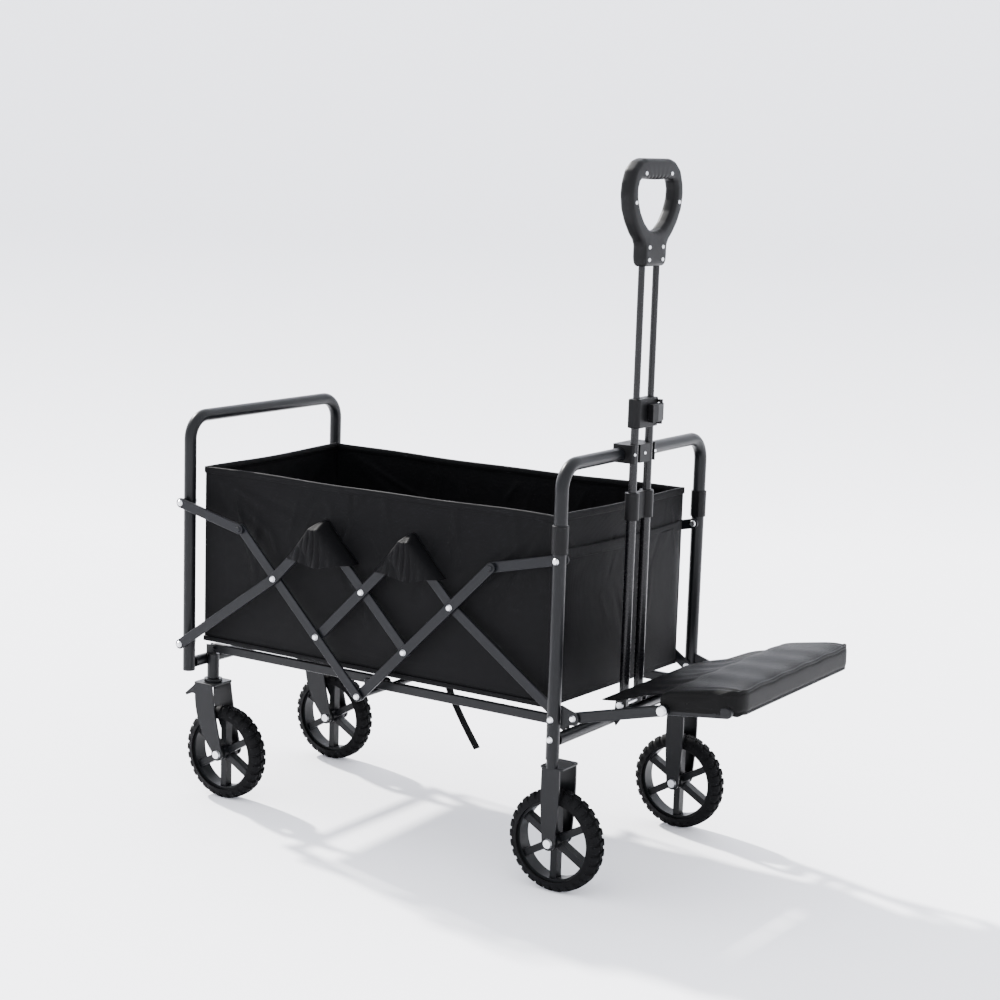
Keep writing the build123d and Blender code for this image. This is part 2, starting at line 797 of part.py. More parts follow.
hoop_clip.part.label = "hoop_clip"
export_step(hoop_clip.part, "parts/hoop_clip.step")

with BuildPart() as clip_bolts:
    for y in (handle_y - 37, handle_y, handle_y + 37):
        with BuildSketch(Plane((clip_front + 0.05, y, (clip_low + clip_high) / 2), z_dir=(1, 0, 0))):
            Circle(3.0)
        extrude(amount=1.6, taper=25)

# Grip: a flat heart-shaped ring on a neck, with finger bumps under its top bar
neck_high = neck_low + 40
opening_low = neck_low + 64
opening_high = grip_top - 38
with BuildPart() as handle_grip:
    with BuildSketch(Plane((handle_x - grip_t / 2, handle_y, 0), x_dir=(0, 1, 0), z_dir=(1, 0, 0))):
        with BuildLine():
            Line((-38, neck_low), (38, neck_low))
            Line((38, neck_low), (38, neck_high))
            Spline(
                (38, neck_high),
                (60, neck_high + 34),
                (grip_half - 6, grip_top - 92),
                (grip_half, grip_top - 58),
                (grip_half - 20, grip_top - 14),
                (grip_half - 48, grip_top),
                tangents=((0.35, 1), (-1, 0)),
            )
            Line((grip_half - 48, grip_top), (48 - grip_half, grip_top))
            Spline(
                (48 - grip_half, grip_top),
                (20 - grip_half, grip_top - 14),
                (-grip_half, grip_top - 58),
                (6 - grip_half, grip_top - 92),
                (-60, neck_high + 34),
                (-38, neck_high),
                tangents=((-1, 0), (0.35, -1)),
            )
            Line((-38, neck_high), (-38, neck_low))
        make_face()
    extrude(amount=grip_t)
    with BuildSketch(Plane((handle_x - grip_t / 2, handle_y, 0), x_dir=(0, 1, 0), z_dir=(1, 0, 0))):
        with BuildLine():
            Line((-13, opening_low), (13, opening_low))
            Spline(
                (13, opening_low),
                (44, opening_low + 34),
                (60, opening_low + 62),
                (59, opening_high - 8),
                (50, opening_high),
                tangents=((1, 0.45), (-1, 0.1)),
            )
            Line((50, opening_high), (-50, opening_high))
            Spline(
                (-50, opening_high),
                (-59, opening_high - 8),
                (-60, opening_low + 62),
                (-44, opening_low + 34),
                (-13, opening_low),
                tangents=((-1, -0.1), (1, -0.45)),
            )
        make_face()
    extrude(amount=grip_t, mode=Mode.SUBTRACT)
    with BuildSketch(Plane((handle_x, 0, neck_low), z_dir=(0, 0, 1))):
        with Locations(*[(0, y) for y in tube_ys]):
            Circle(inner_r + 0.05)
    extrude(amount=26, mode=Mode.SUBTRACT)
handle_grip.part.label = "handle_grip"
export_step(handle_grip.part, "parts/handle_grip.step")

screw_places = [(dy, z) for dy in (-24, 24) for z in (neck_low + 12, neck_low + 34)]
screw_places += [(dy, grip_top - 26) for dy in (-46, 46)] + [(dy, grip_top - 76) for dy in (-77, 77)]
with BuildPart() as grip_screws:
    with BuildSketch(Plane((handle_x + grip_t / 2 + 0.03, handle_y, 0), x_dir=(0, 1, 0), z_dir=(1, 0, 0))):
        with Locations(*screw_places):
            Circle(3.6)
    extrude(amount=1.2, taper=25)
grip_screws.part.label = "grip_screws"
export_step(grip_screws.part, "parts/grip_screws.step")

# Platform: arms hinged at the front corners, and a pad frame hinged on the arms' ends
arm_pivot = (front_x + arm_pivot_ahead, arm_pivot_z)
pad_pivot = (front_x + pad_pivot_ahead, pad_pivot_z)
pad_bar = (front_x + 322, pad_pivot_z + 13)
arm_bar = (
    arm_pivot[0] + 0.5 * (pad_pivot[0] - arm_pivot[0]),
    arm_pivot[1] + 0.5 * (pad_pivot[1] - arm_pivot[1]),
)
arm_inner = arm_half_width - arm_t / 2
pad_arm_outer = arm_inner - 1.0
big_bolt_r = 5.0
cross_r = 7.0


def arm_frame(label, points, inner_face, bar_at, ends, holes):
    """Two flat arms joined by one cross tube."""
    with BuildPart() as frame:
        with BuildSketch(side(inner_face)):
            bar_outline(points, arm_h)
        extrude(amount=arm_t)
        fillet(frame.faces().filter_by(Axis.Y).edges(), 2.4)
        with BuildSketch(side(inner_face - 1)):
            for place, radius in holes:
                with Locations(place):
                    Circle(radius)
        extrude(amount=arm_t + 2, mode=Mode.SUBTRACT)
        mirror(about=Plane.XZ)
        with BuildSketch(side(-ends)):
            with Locations(bar_at):
                Circle(cross_r)
                Circle(cross_r - tube_wall, mode=Mode.SUBTRACT)
        extrude(amount=2 * ends)
    frame.part.label = label
    export_step(frame.part, f"parts/{label}.step")


arm_frame(
    "platform_arms",
    (arm_pivot, pad_pivot),
    arm_inner,
    arm_bar,
    arm_inner + 1,
    ((arm_pivot, rivet_r + run_clear), (pad_pivot, big_bolt_r + run_clear)),
)
arm_frame(
    "pad_frame",
    (pad_pivot, pad_bar),
    pad_arm_outer - arm_t,
    pad_bar,
    pad_arm_outer - arm_t + 1,
    ((pad_pivot, big_bolt_r + run_clear),),
)

bracket_inner = arm_half_width + arm_t / 2 + apart
bracket_t = 4.0
with BuildPart() as platform_brackets:
    with BuildSketch(side(bracket_inner)):
        with BuildLine():
            Line((front_x + tube_r + 0.05, arm_pivot_z - 16), (arm_pivot[0], arm_pivot_z - 12))
            ThreePointArc(
                (arm_pivot[0], arm_pivot_z - 12), (arm_pivot[0] + 12, arm_pivot_z), (arm_pivot[0], arm_pivot_z + 12)
            )
            Line((arm_pivot[0], arm_pivot_z + 12), (front_x + tube_r + 0.05, arm_pivot_z + 20))
            Line((front_x + tube_r + 0.05, arm_pivot_z + 20), (front_x + tube_r + 0.05, arm_pivot_z - 16))
        make_face()
        with Locations(arm_pivot):
            Circle(rivet_r + run_clear, mode=Mode.SUBTRACT)
    extrude(amount=bracket_t)
    mirror(about=Plane.XZ)
platform_brackets.part.label = "platform_brackets"
export_step(platform_brackets.part, "parts/platform_brackets.step")

write(
    "frame_bolts",
    front_leg_rivets,
    handle_bolt.part,
    clip_bolts.part,
    axle_bolts(front_x, (-front_track_half, front_track_half)),
    rivets(((arm_pivot, arm_inner - apart, bracket_inner + bracket_t + 0.1, True),)),
)

with BuildPart() as pad_bolts:
    with BuildSketch(side(pad_arm_outer - arm_t - 4)):
        with Locations(pad_pivot):
            Circle(big_bolt_r)
    extrude(amount=arm_half_width + arm_t / 2 + 1 - pad_arm_outer + arm_t + 4)
    with BuildSketch(side(arm_half_width + arm_t / 2 + 0.1)):
        with Locations(pad_pivot):
            Circle(9.5)
    extrude(amount=4.5, taper=25)
    mirror(about=Plane.XZ)
pad_bolts.part.label = "pad_bolts"
export_step(pad_bolts.part, "parts/pad_bolts.step")

with BuildPart() as platform_sheet:
    with BuildSketch(side(-pad_half_width + 9)):
        with BuildLine():
            Polyline(
                (front_x + 54, arm_pivot_z + 15),
                (front_x + 194, pad_pivot_z + 19),
                (front_x + 193, pad_pivot_z + 23),
                (front_x + 53, arm_pivot_z + 19),
                close=True,
            )
        make_face()
    extrude(amount=2 * pad_half_width - 18)
platform_sheet.part.label = "platform_sheet"
export_step(platform_sheet.part, "parts/platform_sheet.step")

with BuildPart() as platform_pad:
    with BuildSketch(side(-pad_half_width)):
        with BuildLine():
            Polyline(
                (front_x + 200, pad_pivot_z - 4),
                (front_x + 198, pad_pivot_z + pad_t - 4),
                (front_x + platform_reach - 12, pad_pivot_z + pad_t + 20),
                (front_x + platform_reach, pad_pivot_z + pad_t + 10),
                (front_x + platform_reach, pad_pivot_z + 14),
                (front_x + platform_reach - 8, pad_pivot_z + 2),
                close=True,
            )
        make_face()
        with Locations(pad_bar):
            Circle(cross_r + apart, mode=Mode.SUBTRACT)
    extrude(amount=2 * pad_half_width)
platform_pad.part.label = "platform_pad"
export_step(platform_pad.part, "parts/platform_pad.step")
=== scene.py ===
"""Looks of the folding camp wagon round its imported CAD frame: fabric, treads, grip, finishes, studio."""

import json

import bpy
import numpy as np
from mathutils import Matrix, Vector


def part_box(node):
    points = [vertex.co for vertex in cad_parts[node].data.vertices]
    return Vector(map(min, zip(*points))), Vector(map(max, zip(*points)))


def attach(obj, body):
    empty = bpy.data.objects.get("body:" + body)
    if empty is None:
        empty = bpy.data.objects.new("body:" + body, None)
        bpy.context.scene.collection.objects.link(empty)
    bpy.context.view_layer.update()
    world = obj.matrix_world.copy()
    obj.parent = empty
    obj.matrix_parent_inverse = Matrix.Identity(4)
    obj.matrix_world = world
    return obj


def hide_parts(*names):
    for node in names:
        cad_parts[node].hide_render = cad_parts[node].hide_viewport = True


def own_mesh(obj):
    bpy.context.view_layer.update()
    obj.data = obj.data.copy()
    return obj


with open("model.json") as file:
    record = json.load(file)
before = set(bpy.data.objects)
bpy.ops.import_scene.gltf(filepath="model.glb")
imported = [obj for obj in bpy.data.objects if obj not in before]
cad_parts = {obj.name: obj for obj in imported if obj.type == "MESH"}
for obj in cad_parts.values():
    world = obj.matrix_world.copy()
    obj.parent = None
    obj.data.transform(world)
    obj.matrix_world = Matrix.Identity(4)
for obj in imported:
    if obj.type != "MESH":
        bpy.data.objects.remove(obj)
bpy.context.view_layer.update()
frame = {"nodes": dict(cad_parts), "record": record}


def linear(code):
    """Linear RGBA of a hex colour: c / 12.92 below 0.04045, else ((c + 0.055) / 1.055) ** 2.4."""
    rgb = [int(code[i : i + 2], 16) / 255 for i in (1, 3, 5)]
    return [c / 12.92 if c < 0.04045 else ((c + 0.055) / 1.055) ** 2.4 for c in rgb] + [1.0]


def node(tree, kind, links=(), **values):
    """Adds a shader node, sets its properties and inputs, and links (socket name, source socket) pairs."""
    made = tree.nodes.new(kind)
    for name, value in values.items():
        if hasattr(made, name):
            setattr(made, name, value)
        else:
            made.inputs[name.replace("_", " ")].default_value = value
    for name, source in links:
        tree.links.new(source, made.inputs[name])
    return made


def finish_material(name, low, high, rough, grain_mm, bump_mm, metal=0.0, weave_mm=0.0, shine=0.3):
    """Principled finish: colour runs between two hex colours; roughness and bump follow noise or a weave."""
    made = bpy.data.materials.new(name)
    made.use_nodes = True
    tree = made.node_tree
    shader = tree.nodes["Principled BSDF"]
    place = node(tree, "ShaderNodeTexCoord").outputs["Object"]
    broad = node(tree, "ShaderNodeTexNoise", [("Vector", place)], Scale=9.0, Detail=4.0)
    fine = node(tree, "ShaderNodeTexNoise", [("Vector", place)], Scale=1000 / grain_mm, Detail=3.0)
    tint = node(tree, "ShaderNodeMix", [("Factor", broad.outputs["Fac"])], data_type="RGBA")
    tint.inputs[6].default_value, tint.inputs[7].default_value = linear(low), linear(high)
    tree.links.new(tint.outputs[2], shader.inputs["Base Color"])
    spread = node(tree, "ShaderNodeMapRange", [("Value", fine.outputs["Fac"])])
    spread.inputs["To Min"].default_value, spread.inputs["To Max"].default_value = rough
    tree.links.new(spread.outputs["Result"], shader.inputs["Roughness"])
    height = fine.outputs["Fac"]
    if weave_mm:
        per_metre = 1000 / weave_mm / 3.1
        waves = [
            node(tree, "ShaderNodeTexWave", [("Vector", place)], bands_direction=way, Scale=per_metre)
            for way in ("X", "Y", "Z")
        ]
        pair = node(tree, "ShaderNodeMath", [(0, waves[0].outputs["Fac"]), (1, waves[1].outputs["Fac"])])
        height = node(tree, "ShaderNodeMath", [(0, pair.outputs[0]), (1, waves[2].outputs["Fac"])]).outputs[0]
    relief = node(tree, "ShaderNodeBump", [("Height", height)], Distance=bump_mm / 1000, Strength=0.6)
    tree.links.new(relief.outputs["Normal"], shader.inputs["Normal"])
    shader.inputs["Metallic"].default_value = metal
    shader.inputs["Specular IOR Level"].default_value = shine
    shader.inputs["Sheen Weight"].default_value = 0.0
    shader.inputs["Coat Weight"].default_value = 0.0
    return made


paints = {
    "frame_paint": finish_material("frame_paint", "#060709", "#0a0b0d", (0.28, 0.40), 1.6, 0.03, shine=0.14),
    "bar_paint": finish_material("bar_paint", "#07080a", "#0c0d11", (0.32, 0.44), 1.4, 0.04, shine=0.14),
    "handle_paint": finish_material("handle_paint", "#060608", "#0a0a0c", (0.22, 0.32), 2.0, 0.02, shine=0.2),
    "bright_steel": finish_material("bright_steel", "#b9babd", "#d2d3d5", (0.22, 0.38), 1.0, 0.02, metal=1.0),
    "moulded_plastic": finish_material(
        "moulded_plastic", "#060607", "#09090a", (0.40, 0.54), 0.8, 0.04, shine=0.1
    ),
    "wheel_plastic": finish_material(
        "wheel_plastic", "#08090a", "#0d0e10", (0.34, 0.48), 0.9, 0.04, shine=0.12
    ),
    "tyre_rubber": finish_material("tyre_rubber", "#070708", "#0c0c0d", (0.6, 0.8), 1.2, 0.08, shine=0.06),
    "basket_fabric": finish_material(
        "basket_fabric", "#050506", "#080809", (0.46, 0.6), 0.8, 0.15, weave_mm=0.9, shine=0.05
    ),
    "pad_cover": finish_material(
        "pad_cover", "#040404", "#070707", (0.44, 0.56), 0.8, 0.15, weave_mm=0.9, shine=0.06
    ),
    "webbing": finish_material(
        "webbing", "#09090a", "#0f0f10", (0.6, 0.75), 0.7, 0.2, weave_mm=1.6, shine=0.05
    ),
}
for part in frame["record"]["subparts"]:
    shown = frame["nodes"][part["node"]]
    shown.data.materials.clear()
    shown.data.materials.append(paints[part["material_slot"]])


def surface(name, points, slot, closed_u=False, closed_v=False, thick=0.0, smooth=True):
    """A mesh over a grid of points[i, j] in metres; either way may close on itself; thick adds a shell."""
    rows, columns = points.shape[:2]
    index = np.arange(rows * columns).reshape(rows, columns)
    if closed_u:
        index = np.vstack([index, index[:1]])
    if closed_v:
        index = np.hstack([index, index[:, :1]])
    quads = np.stack([index[:-1, :-1], index[1:, :-1], index[1:, 1:], index[:-1, 1:]], -1).reshape(-1, 4)
    mesh = bpy.data.meshes.new(name)
    mesh.from_pydata(points.reshape(-1, 3).tolist(), [], quads.tolist())
    mesh.polygons.foreach_set("use_smooth", np.full(len(quads), smooth))
    mesh.update()
    made = bpy.data.objects.new(name, mesh)
    bpy.context.collection.objects.link(made)
    mesh.materials.append(paints[slot])
    if thick:
        shell = made.modifiers.new("shell", "SOLIDIFY")
        shell.thickness, shell.offset = thick, 0.0
        bpy.context.view_layer.objects.active = made
        with bpy.context.temp_override(object=made):
            bpy.ops.object.modifier_apply(modifier="shell")
    return made


def ridge(distance, width):
    """A soft fold: exp(-(distance / width) ** 2)."""
    return np.exp(-((distance / width) ** 2))


def fold_line(x, z, start, end, width):
    """A crease along a straight run, fading to both ends: ridge(offset) * sin(pi t) ** 0.7, 0 <= t <= 1."""
    way = np.subtract(end, start)
    length = np.hypot(*way)
    t = ((x - start[0]) * way[0] + (z - start[1]) * way[1]) / length**2
    off = ((x - start[0]) * way[1] - (z - start[1]) * way[0]) / length
    return ridge(off, width) * np.sin(np.pi * np.clip(t, 0.001, 0.999)) ** 0.7


# ---- Basket side walls ----
# One panel of coated polyester each side, hung from the rim and pulled in where the lattice crosses.
# Each sags a few millimetres at mid length and carries slanting creases from its corners.
floor_low, floor_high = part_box("basket_floor")
wall_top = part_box("basket_near_wall")[1].z
x_low, x_high = floor_low.x - 0.004, floor_high.x + 0.004
half_width = floor_high.y + 0.004
stretch = {"near": (x_low - 0.006, x_high + 0.002), "far": (x_low - 0.022, x_high + 0.020)}
middle_x = (x_low + x_high) / 2
wall_low = floor_low.z


def rim_height(s):
    """Rim height over the length, s from -1 to 1: top - 3 mm cos(pi s / 2) ** 2 + a small wave."""
    return wall_top - 0.003 * np.cos(np.pi * s / 2) ** 2 + 0.0006 * np.sin(9 * s + 1)


def wall_relief(x, z, seed):
    """Out-of-plane shape of a wall in metres: (bulges + belt at 0.72 of its height + creases) * edge fade."""
    rng = np.random.default_rng(seed)
    t = np.clip((z - wall_low) / (wall_top - wall_low), 0, 1)
    bulge = 0.004 * np.sin(np.pi * t) * (1 + 0.5 * np.sin(7.1 * x + seed) + 0.4 * np.sin(17 * x - 9 * z))
    creases = np.zeros_like(x)
    for side in (-1, 1):
        corner = (middle_x + side * 0.385, wall_top - 0.01)
        for _ in range(7):
            angle = rng.uniform(0.25, 1.35)
            length = rng.uniform(0.12, 0.26)
            end = (corner[0] - side * length * np.cos(angle), corner[1] - length * np.sin(angle))
            creases += rng.uniform(-0.0028, 0.0034) * fold_line(x, z, corner, end, rng.uniform(0.006, 0.012))
    for _ in range(34):
        start = (rng.uniform(x_low + 0.03, x_high - 0.03), rng.uniform(wall_low + 0.05, wall_top - 0.04))
        angle = rng.uniform(0.5, 2.6)
        length = rng.uniform(0.06, 0.17)
        end = (start[0] + length * np.cos(angle), start[1] + length * np.sin(angle))
        creases += rng.uniform(-0.0022, 0.0026) * fold_line(x, z, start, end, rng.uniform(0.004, 0.011))
    skirt = 0.004 * np.exp(-(((t - 0.72) / 0.17) ** 2)) * (1 + 0.25 * np.sin(11 * x + seed))
    return (bulge + skirt + creases) * np.minimum(1, 9 * t) * np.minimum(1, 14 * (1 - t) + 0.12)


cells_x, cells_z = np.linspace(-1, 1, 380), np.linspace(0, 1, 170)
for side, word in ((-1, "near"), (1, "far")):
    s, t = np.meshgrid(cells_x, cells_z, indexing="ij")
    rear_end, front_end = stretch[word]
    x = (rear_end + front_end) / 2 + s * (front_end - rear_end) / 2
    z = wall_low + 0.001 + t * (rim_height(s) - wall_low - 0.001)
    out = half_width - 0.003 - 0.006 * np.exp(-(((t - 1) / 0.3) ** 2)) * (1 - np.abs(s) ** 6)
    y = side * (out + wall_relief(x, z, 3 if side < 0 else 11) * (1 - np.abs(s) ** 14))
    wall = surface(f"side_wall_{word}", np.stack([x, y, z], -1), "basket_fabric", thick=0.0016)
    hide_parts(f"basket_{word}_wall")
    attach(wall, "front_frame")
    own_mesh(wall)

# ---- Basket end walls ----
# Short panels just inside the hoops, closing the basket at both ends; the rear one rides on the rear frame.
for end, word, body, seed in ((x_high, "front", "front_frame", 21), (x_low, "rear", "rear_frame", 33)):
    outward = 1 if end > 0 else -1
    s, t = np.meshgrid(np.linspace(-1, 1, 200), cells_z, indexing="ij")
    y = s * (half_width - 0.0032)
    z = wall_low + 0.001 + t * (wall_top - 0.003 * np.cos(np.pi * s / 2) ** 2 - wall_low)
    shape = 0.8 * wall_relief(y + middle_x, z, seed)
    shape += 0.003 * np.sin(np.pi * t) * np.cos(np.pi * s / 2)
    ends = [stretch[k][1 if end > 0 else 0] for k in ("near", "far")]
    line = ends[0] + (ends[1] - ends[0]) * (s + 1) / 2
    x = line + outward * shape * (1 - np.abs(s) ** 14)
    wall = surface(f"end_wall_{word}", np.stack([x, y, z], -1), "basket_fabric", thick=0.0016)
    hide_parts(f"basket_{word}_wall")
    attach(wall, body)

# ---- Front pocket ----
# A patch pocket sewn on the front wall, open at its top, a little fuller in the middle.
s, t = np.meshgrid(np.linspace(-1, 1, 120), np.linspace(0, 1, 110), indexing="ij")
y = s * (half_width - 0.016) * (1 - 0.02 * t)
z = wall_low + 0.012 + t * 0.262 - 0.004 * (1 - s**2) * t
line = stretch["near"][1] + (stretch["far"][1] - stretch["near"][1]) * (s + 1) / 2
x = line + 0.004 + 0.0045 * np.sin(np.pi * np.clip(t, 0, 1)) * (1 - s**8) + 0.003 * t * (1 - s**4)
x += 0.5 * wall_relief(y * 1.1 + middle_x, z, 45) * (1 - s**8)
pocket = surface("front_pocket", np.stack([x, y, z], -1), "basket_fabric", thick=0.0015)
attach(pocket, "front_frame")

# ---- Basket floor ----
# A stiffened panel inside the walls, laid on the floor bars, with a little sag between them.
u, v = np.meshgrid(np.linspace(0, 1, 160), np.linspace(-1, 1, 90), indexing="ij")
x = x_low + 0.004 + u * (x_high - x_low - 0.008)
y = v * (half_width - 0.006)
z = (
    floor_low.z
    + 0.0016
    + 0.0006 * np.sin(13 * x + 5 * y)
    + 0.0012 * np.cos(31 * y) * np.sin(np.pi * u)
    + 0.002 * np.abs(v) ** 12
)
base = surface("floor_panel", np.stack([x, y, z], -1), "basket_fabric", thick=0.002)
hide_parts("basket_floor")
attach(base, "front_frame")
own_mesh(base)


def band(name, path, normal_out, width, thick, slot="basket_fabric", lean=(0, 0, 1)):
    """A flat strip with rounded edges along path[i].

    Ring: centre + thick / 2 * sgn(cos a) |cos a| ** 0.6 normal + width / 2 * sgn(sin a) |sin a| ** 0.35 lean.
    """
    angle = np.linspace(0, 2 * np.pi, 12, endpoint=False)
    across = np.sign(np.sin(angle)) * np.abs(np.sin(angle)) ** 0.35 * width / 2
    through = np.sign(np.cos(angle)) * np.abs(np.cos(angle)) ** 0.6 * thick / 2
    ring = path[:, None, :] + through[None, :, None] * normal_out[:, None, :]
    ring = ring + across[None, :, None] * np.broadcast_to(np.asarray(lean, float), path.shape)[:, None, :]
    return surface(name, ring, slot, closed_v=True)


# ---- Rim binding and hems ----
# A folded tape sewn over each top edge, a narrower one along the bottom of the side walls, and one
# along the top of the pocket.
s = np.linspace(-1, 1, 260)
for side, word in ((-1, "near"), (1, "far")):
    rear_end, front_end = stretch[word]
    line_x = (rear_end + front_end) / 2 + s * (front_end - rear_end) / 2
    out = side * (half_width - 0.0035 - 0.006 * (1 - np.abs(s) ** 6))
    path = np.stack([line_x, out, rim_height(s) - 0.0045], -1)
    normal = np.tile([0.0, side, 0.0], (len(s), 1))
    rim = band(f"rim_{word}", path, normal, 0.013, 0.0062)
    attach(rim, "front_frame")
    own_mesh(rim)
    low = np.stack([line_x, np.full_like(s, side * (half_width - 0.001)), 0 * s + wall_low + 0.005], -1)
    hem = band(f"lower_hem_{word}", low, normal, 0.010, 0.005)
    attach(hem, "front_frame")
    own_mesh(hem)
for end, word, body in ((x_high, "front", "front_frame"), (x_low, "rear", "rear_frame")):
    outward = 1 if end > 0 else -1
    across = np.linspace(-1, 1, 120)
    height = wall_top - 0.003 * np.cos(np.pi * across / 2) ** 2
    ends = [stretch[k][1 if end > 0 else 0] for k in ("near", "far")]
    line = ends[0] + (ends[1] - ends[0]) * (across + 1) / 2
    path = np.stack([line, across * (half_width - 0.002), height - 0.0045], -1)
    rim = band(f"rim_{word}", path, np.tile([outward, 0.0, 0.0], (120, 1)), 0.013, 0.0062)
    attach(rim, body)
across = np.linspace(-1, 1, 120)
top = wall_low + 0.274 - 0.004 * (1 - across**2)
line = stretch["near"][1] + (stretch["far"][1] - stretch["near"][1]) * (across + 1) / 2
path = np.stack([line + 0.0065 + 0.003 * (1 - across**4), across * (half_width - 0.017) * 0.98, top], -1)
hem = band("pocket_hem", path, np.tile([1.0, 0.0, 0.0], (120, 1)), 0.020, 0.004)
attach(hem, "front_frame")

# ---- Caps over the lattice tops ----
# Two pointed fabric caps on each side, sewn to the wall and pulled out over the upper pivots of the lattice.
# They hang as small tents: a tip above the pivot, edges back on the wall, and a sagging lower hem.
rivet_radius = 0.0062
tip_rise, tip_half, hem_half = 0.022, 0.003, 0.077
for side, word in ((-1, "near"), (1, "far")):
    for place, box_of, reach in (("rear", "rivets_rear_end", 0.2668), ("front", "rivets_middle", 0.2545)):
        corner_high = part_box(box_of)[1]
        tip_x, tip_z = corner_high.x - rivet_radius, corner_high.z - rivet_radius
        u, v = np.meshgrid(np.linspace(-1, 1, 120), np.linspace(0, 1, 90), indexing="ij")
        x = tip_x + u * (tip_half + (hem_half - tip_half) * v)
        drop = 0.080 - 0.006 * np.abs(u) ** 2 + 0.003 * np.sin(5 * u + 1)
        z = tip_z + tip_rise - v * drop
        lift = np.clip((1 - np.abs(u) ** 7), 0, 1) ** 0.6 * np.clip(v / 0.16, 0, 1) ** 0.6
        ripple = 0.0022 * np.sin(9 * u + 4 * v) * v * (1 - u**2)
        ripple = ripple + 0.0016 * np.sin(21 * u * v + 2) * (1 - u**2)
        reach_here = half_width + 0.0012 + (reach + 0.001 - half_width) * lift + np.abs(ripple) * lift
        points = np.stack([x, side * reach_here, z], -1)
        cap = surface(f"cap_{place}_{word}", points, "basket_fabric", thick=0.0012)
        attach(cap, "front_frame")
        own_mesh(cap)

# ---- Platform cloth ----
# A thin panel between the basket's front edge and the pad, laced on the arms.
low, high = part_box("platform_sheet")
u, v = np.meshgrid(np.linspace(0, 1, 120), np.linspace(-1, 1, 140), indexing="ij")
x = low.x - 0.012 + u * (high.x - low.x + 0.014)
y = v * (0.158 + (high.y - 0.158) * np.clip(u * 1.15, 0, 1) ** 0.7)
z = low.z + 0.0005 + u * (high.z - low.z - 0.002) - 0.006 * np.sin(np.pi * u) * (1 - v**4)
z += 0.0016 * np.sin(23 * v + 6 * u) * u + 0.002 * np.sin(9 * v * u + 1)
cloth = surface("platform_cloth", np.stack([x, y, z], -1), "basket_fabric", thick=0.0016)
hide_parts("platform_sheet")
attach(cloth, "platform_arms")

# ---- Padded platform ----
# A foam board in a sewn cover: swollen top, tight edges with piping, small gathers near the corners.
# Rings go round the pad's length; each ring is a rounded rectangle between its lower and upper face.
low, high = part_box("platform_pad")
steps = 150
y = np.sin(np.linspace(-1, 1, steps) * np.pi / 2)
angle = np.linspace(0, 2 * np.pi, 128, endpoint=False)
power = 0.32
cosine, sine = np.cos(angle), np.sin(angle)
a = np.sign(cosine) * np.abs(cosine) ** power
b = np.sign(sine) * np.abs(sine) ** power
end_fade = np.clip(1 - np.abs(y) ** 40, 0, 1)[:, None] ** 0.4
middle = (low.x + high.x) / 2
half_x = (high.x - low.x) / 2
reach_y, corner_radius = 0.2345, 0.042
inset = np.clip((np.abs(y) * reach_y - (reach_y - corner_radius)) / corner_radius, 0, 1)
round_off = corner_radius * (1 - np.sqrt(1 - inset**2))[:, None]
x = middle + a[None, :] * (half_x - round_off / 2) - round_off / 2
slope = (x - low.x) / (high.x - low.x)
bottom_z = low.z - 0.004 + 0.016 * slope
top_z = low.z + 0.036 + 0.023 * slope - 0.004 * slope**6
top_z = top_z + 0.0035 * (1 - np.abs(y[:, None]) ** 4) * (1 - np.abs(a[None, :]) ** 4)
centre, half_z = (bottom_z + top_z) / 2, (top_z - bottom_z) / 2 * (0.55 + 0.45 * end_fade)
z = centre + b[None, :] * half_z
gather = ridge(np.abs(y[:, None]) - 0.93, 0.07) * np.clip(slope, 0, 1) ** 2
z = z + 0.0016 * gather * np.sin(70 * y[:, None])
z = z + 0.0009 * np.sin(17 * y[:, None] + 30 * x) * (b[None, :] > 0)
points = np.stack([x, np.broadcast_to(y[:, None] * reach_y, x.shape), z], -1)
cover = surface("pad_cover", points, "pad_cover", closed_v=True)
for end in (0, -1):
    ring = points[end]
    cap = np.stack([ring * (1 - k) + ring.mean(0) * k for k in (0.0, 0.35, 0.7, 0.97)])
    cap[:, :, 1] += (1 if end else -1) * np.array([0, 0.0018, 0.0026, 0.003])[:, None]
    name = "pad_end_far" if end else "pad_end_near"
    face = surface(name, cap if end else cap[:, ::-1], "pad_cover", closed_v=True)
    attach(face, "platform_pad")
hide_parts("platform_pad")
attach(cover, "platform_pad")
for word, pick in (("top", 0.86), ("bottom", -0.86)):
    ring = int(np.argmin(np.abs(a - 1) + np.abs(b - pick)))
    line = points[3:-3, ring] + np.array([0.0008, 0, 0.0006 * pick])
    outwards = np.tile([1.0, 0.0, 0.0], (len(line), 1))
    pipe = band(f"pad_piping_{word}", line, outwards, 0.0055, 0.0055, "pad_cover")
    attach(pipe, "platform_pad")

# ---- Hanging strap ----
# Loose webbing under the basket, hanging on the slant with a sewn end.
low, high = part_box("hanging_strap")
t = np.linspace(0, 1, 60)
path_x = low.x + 0.002 + (high.x - low.x - 0.004) * t ** (1.25)
path_z = high.z - (high.z - low.z) * t
path = np.stack([path_x, 0 * t + (low.y + high.y) / 2, path_z], -1)
along = np.gradient(path, axis=0)
along /= np.linalg.norm(along, axis=1)[:, None]
face = np.cross(along, [0.0, 1.0, 0.0])
strap = band("strap", path, face, 0.020, 0.0018, "webbing", lean=(0, 1, 0))
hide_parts("hanging_strap")
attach(strap, "front_frame")

